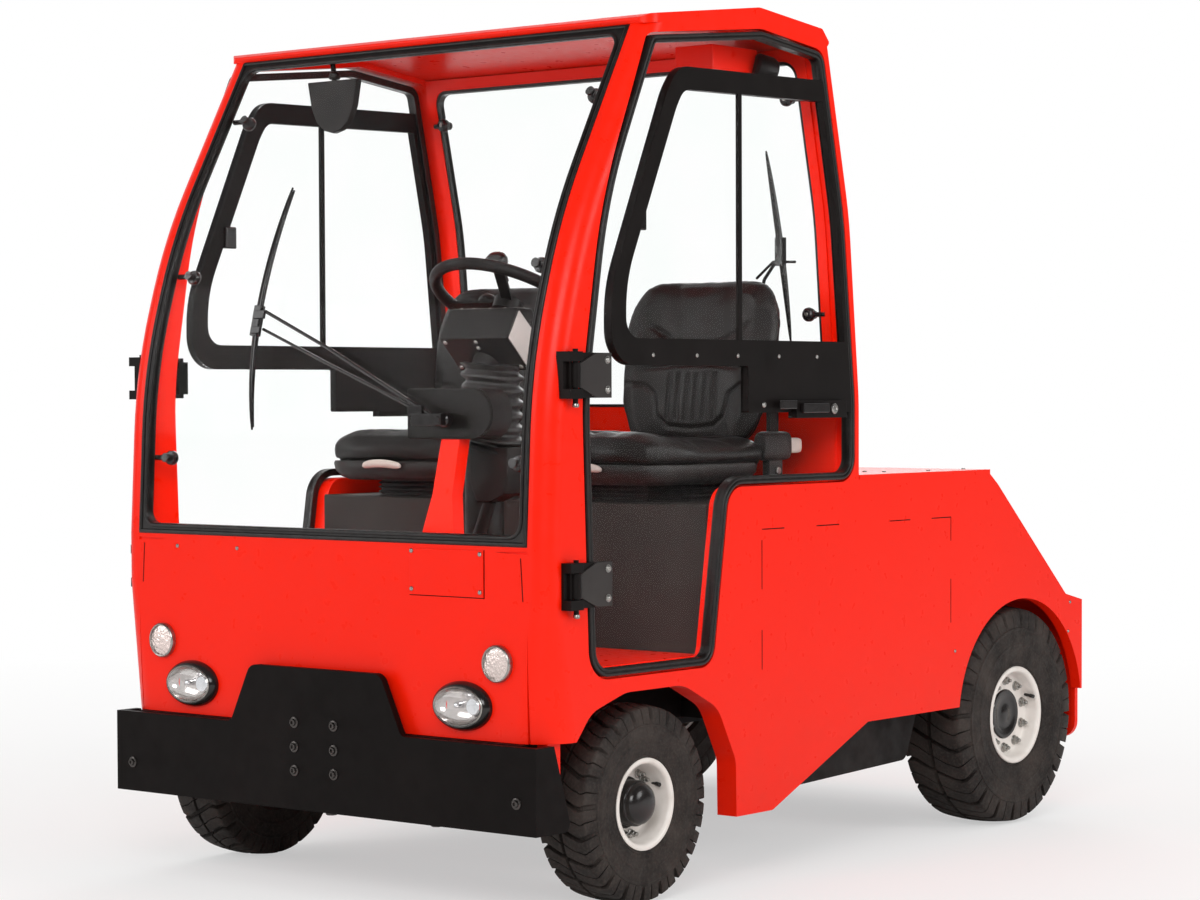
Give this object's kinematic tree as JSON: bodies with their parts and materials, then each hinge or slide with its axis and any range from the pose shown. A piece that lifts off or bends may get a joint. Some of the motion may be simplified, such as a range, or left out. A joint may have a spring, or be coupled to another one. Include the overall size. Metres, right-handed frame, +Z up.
{
  "type": "airport baggage tug",
  "caption": "Small four-wheel baggage tug with a two-seat glazed cab, swinging doors, steering front wheels, low rear deck and a rear drawbar jaw.",
  "frame": {"origin": "on the ground under the middle of the vehicle's length and width", "axes": "+X to the vehicle's left, +Y to its rear, +Z up"},
  "size_m": [1.42, 2.449, 2.0796],
  "materials": {
    "body_red": "gloss",
    "chassis_black": "satin",
    "bumper_black": "satin",
    "axle_black": "satin",
    "rim_white": "gloss",
    "tyre_black": "matte",
    "seal_rubber": "satin",
    "cab_glass": "clear",
    "frame_black": "satin",
    "hinge_black": "satin",
    "plinth_grey": "satin",
    "seat_vinyl": "satin",
    "suspension_grey": "matte",
    "plastic_black": "matte",
    "drive_grey": "satin",
    "headlamp_clear": "clear lens",
    "indicator_clear": "clear lens",
    "tail_lamp_red": "red lens"
  },
  "bodies": {
    "chassis": {"chassis_frame": "chassis_black", "chassis_skirts": "chassis_black", "tow_hitch": "chassis_black", "front_bumper": "bumper_black", "front_axle": "axle_black", "rear_axle": "axle_black", "drive_unit": "drive_grey", "deck_cover": "body_red", "tail_cover": "body_red", "rear_plate": "body_red", "front_panel": "body_red", "roof": "body_red", "rear_wall": "body_red", "cab_floor": "body_red", "wiper_post": "body_red", "cab_side_left": "body_red", "cab_side_right": "body_red", "body_side_left": "body_red", "body_side_right": "body_red", "windscreen_seal": "seal_rubber", "rear_window_seal": "seal_rubber", "windscreen": "cab_glass", "rear_window": "cab_glass", "hinge_blocks": "hinge_black", "seat_plinth": "plinth_grey", "seat_cushions": "seat_vinyl", "seat_backs": "seat_vinyl", "seat_bases": "suspension_grey", "steering_column": "plastic_black", "dash_pod": "plastic_black", "wiper_motor": "plastic_black", "wipers": "plastic_black", "mirror_shade": "plastic_black", "glass_clamps": "plastic_black", "roof_fan": "plastic_black", "pedals": "plastic_black", "headlamps": "headlamp_clear", "indicators": "indicator_clear", "tail_lamps": "tail_lamp_red"},
    "knuckle_left": {"steering_knuckle_left": "axle_black"},
    "front_wheel_left": {"front_rim_left": "rim_white", "front_tyre_left": "tyre_black"},
    "rear_wheel_left": {"rear_rim_left": "rim_white", "rear_tyre_left": "tyre_black"},
    "door_left": {"door_seal_left": "seal_rubber", "door_glass_left": "cab_glass", "door_frame_left": "frame_black"},
    "knuckle_right": {"steering_knuckle_right": "axle_black"},
    "front_wheel_right": {"front_rim_right": "rim_white", "front_tyre_right": "tyre_black"},
    "rear_wheel_right": {"rear_rim_right": "rim_white", "rear_tyre_right": "tyre_black"},
    "door_right": {"door_seal_right": "seal_rubber", "door_glass_right": "cab_glass", "door_frame_right": "frame_black"},
    "tie_rod": {"tie_rod": "axle_black"},
    "steering_wheel": {"steering_wheel": "plastic_black"}
  },
  "joints": [
    {"name": "steer_left", "type": "hinge", "parent": "chassis", "child": "knuckle_left", "pos_m": [0.468, -0.8255, 0.229], "axis": [0, 0, 1], "range_deg": [-35, 35]},
    {"name": "front_roll_left", "type": "hinge", "parent": "knuckle_left", "child": "front_wheel_left", "pos_m": [0.597, -0.8255, 0.229], "axis": [1, 0, 0], "continuous": true},
    {"name": "rear_roll_left", "type": "hinge", "parent": "chassis", "child": "rear_wheel_left", "pos_m": [0.574, 0.7915, 0.294], "axis": [1, 0, 0], "continuous": true},
    {"name": "door_left_swing", "type": "hinge", "parent": "chassis", "child": "door_left", "pos_m": [0.698, -1.1115, 0.976], "axis": [0, 0, -1], "range_deg": [0, 85]},
    {"name": "steer_right", "type": "hinge", "parent": "chassis", "child": "knuckle_right", "pos_m": [-0.468, -0.8255, 0.229], "axis": [0, 0, 1], "range_deg": [-35, 35]},
    {"name": "front_roll_right", "type": "hinge", "parent": "knuckle_right", "child": "front_wheel_right", "pos_m": [-0.597, -0.8255, 0.229], "axis": [1, 0, 0], "continuous": true},
    {"name": "rear_roll_right", "type": "hinge", "parent": "chassis", "child": "rear_wheel_right", "pos_m": [-0.574, 0.7915, 0.294], "axis": [1, 0, 0], "continuous": true},
    {"name": "door_right_swing", "type": "hinge", "parent": "chassis", "child": "door_right", "pos_m": [-0.698, -1.1115, 0.976], "axis": [0, 0, 1], "range_deg": [0, 85]},
    {"name": "tie_rod_pin", "type": "hinge", "parent": "knuckle_right", "child": "tie_rod", "pos_m": [-0.468, -0.7075, 0.26], "axis": [0, 0, 1], "range_deg": [-36, 36]},
    {"name": "steering_wheel_turn", "type": "hinge", "parent": "chassis", "child": "steering_wheel", "pos_m": [0.32, -0.8955, 1.38], "axis": [0, 0.4695, 0.8829], "range_deg": [-355, 355]}
  ],
  "couplings": [
    {"joint": "steer_right", "follows": "steer_left", "ratio": 1},
    {"joint": "tie_rod_pin", "follows": "steer_left", "ratio": -1},
    {"joint": "steering_wheel_turn", "follows": "steer_left", "ratio": 10}
  ]
}
